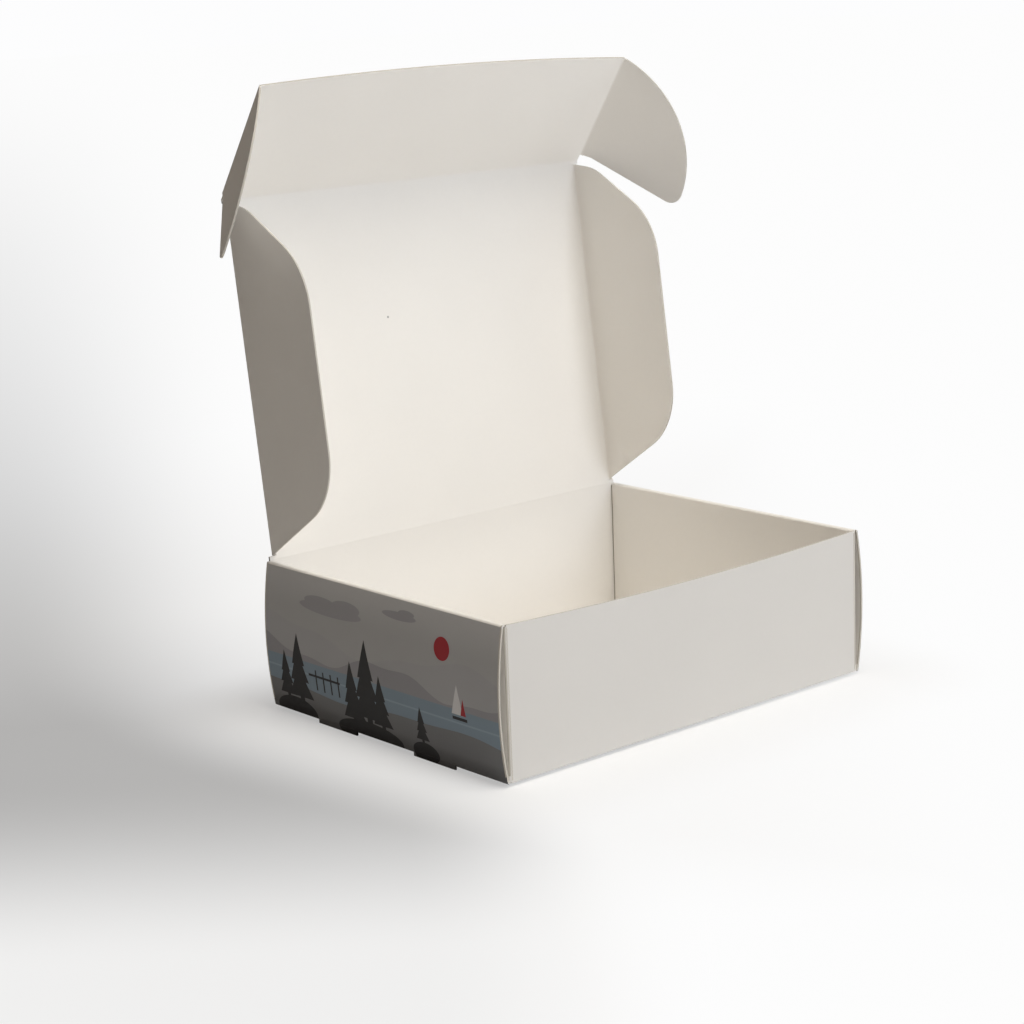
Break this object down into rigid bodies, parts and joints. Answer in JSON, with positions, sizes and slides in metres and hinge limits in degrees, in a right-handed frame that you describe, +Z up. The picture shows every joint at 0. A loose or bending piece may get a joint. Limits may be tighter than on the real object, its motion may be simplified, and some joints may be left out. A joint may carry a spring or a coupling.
{
  "type": "corrugated mailer box",
  "caption": "Corrugated mailer box with roll-over side walls, locking tabs, and an open tuck-in lid with side flaps, a front flap and round ears.",
  "frame": {"origin": "centre of the underside of the base; the lips of the four locking slots reach 2 mm lower, and the box stands on them", "axes": "+Z up through the open top, +X to the right along the front wall, +Y from the front wall to the back wall that carries the lid"},
  "size_m": [0.4011, 0.2693, 0.4209],
  "materials": {
    "tray": "matte",
    "lid": "matte",
    "front_flap": "matte",
    "ear_left": "matte",
    "ear_right": "matte",
    "side_flap_left": "matte",
    "side_flap_right": "matte"
  },
  "bodies": {
    "tray": {"tray": "tray"},
    "lid": {"lid": "lid"},
    "front_flap": {"front_flap": "front_flap"},
    "ear_left": {"ear_left": "ear_left"},
    "ear_right": {"ear_right": "ear_right"},
    "side_flap_left": {"side_flap_left": "side_flap_left"},
    "side_flap_right": {"side_flap_right": "side_flap_right"}
  },
  "joints": [
    {"name": "lid_crease", "type": "hinge", "parent": "tray", "child": "lid", "pos_m": [0, 0.1194, 0.10075], "axis": [-1, 0, 0], "range_deg": [-97, 83]},
    {"name": "front_flap_crease", "type": "hinge", "parent": "lid", "child": "front_flap", "pos_m": [0, 0.14869, 0.33926], "axis": [-1, 0, 0], "range_deg": [-48, 42]},
    {"name": "left_ear_crease", "type": "hinge", "parent": "front_flap", "child": "ear_left", "pos_m": [-0.15881, 0.14869, 0.33926], "axis": [0, 0.5736, -0.8192], "range_deg": [-33, 57]},
    {"name": "right_ear_crease", "type": "hinge", "parent": "front_flap", "child": "ear_right", "pos_m": [0.15881, 0.14869, 0.33926], "axis": [0, -0.5736, 0.8192], "range_deg": [-28, 62]},
    {"name": "left_side_flap_crease", "type": "hinge", "parent": "lid", "child": "side_flap_left", "pos_m": [-0.15471, 0.1194, 0.10075], "axis": [0, -0.1219, -0.9925], "range_deg": [0, 90]},
    {"name": "right_side_flap_crease", "type": "hinge", "parent": "lid", "child": "side_flap_right", "pos_m": [0.15471, 0.1194, 0.10075], "axis": [0, 0.1219, 0.9925], "range_deg": [0, 90]}
  ]
}
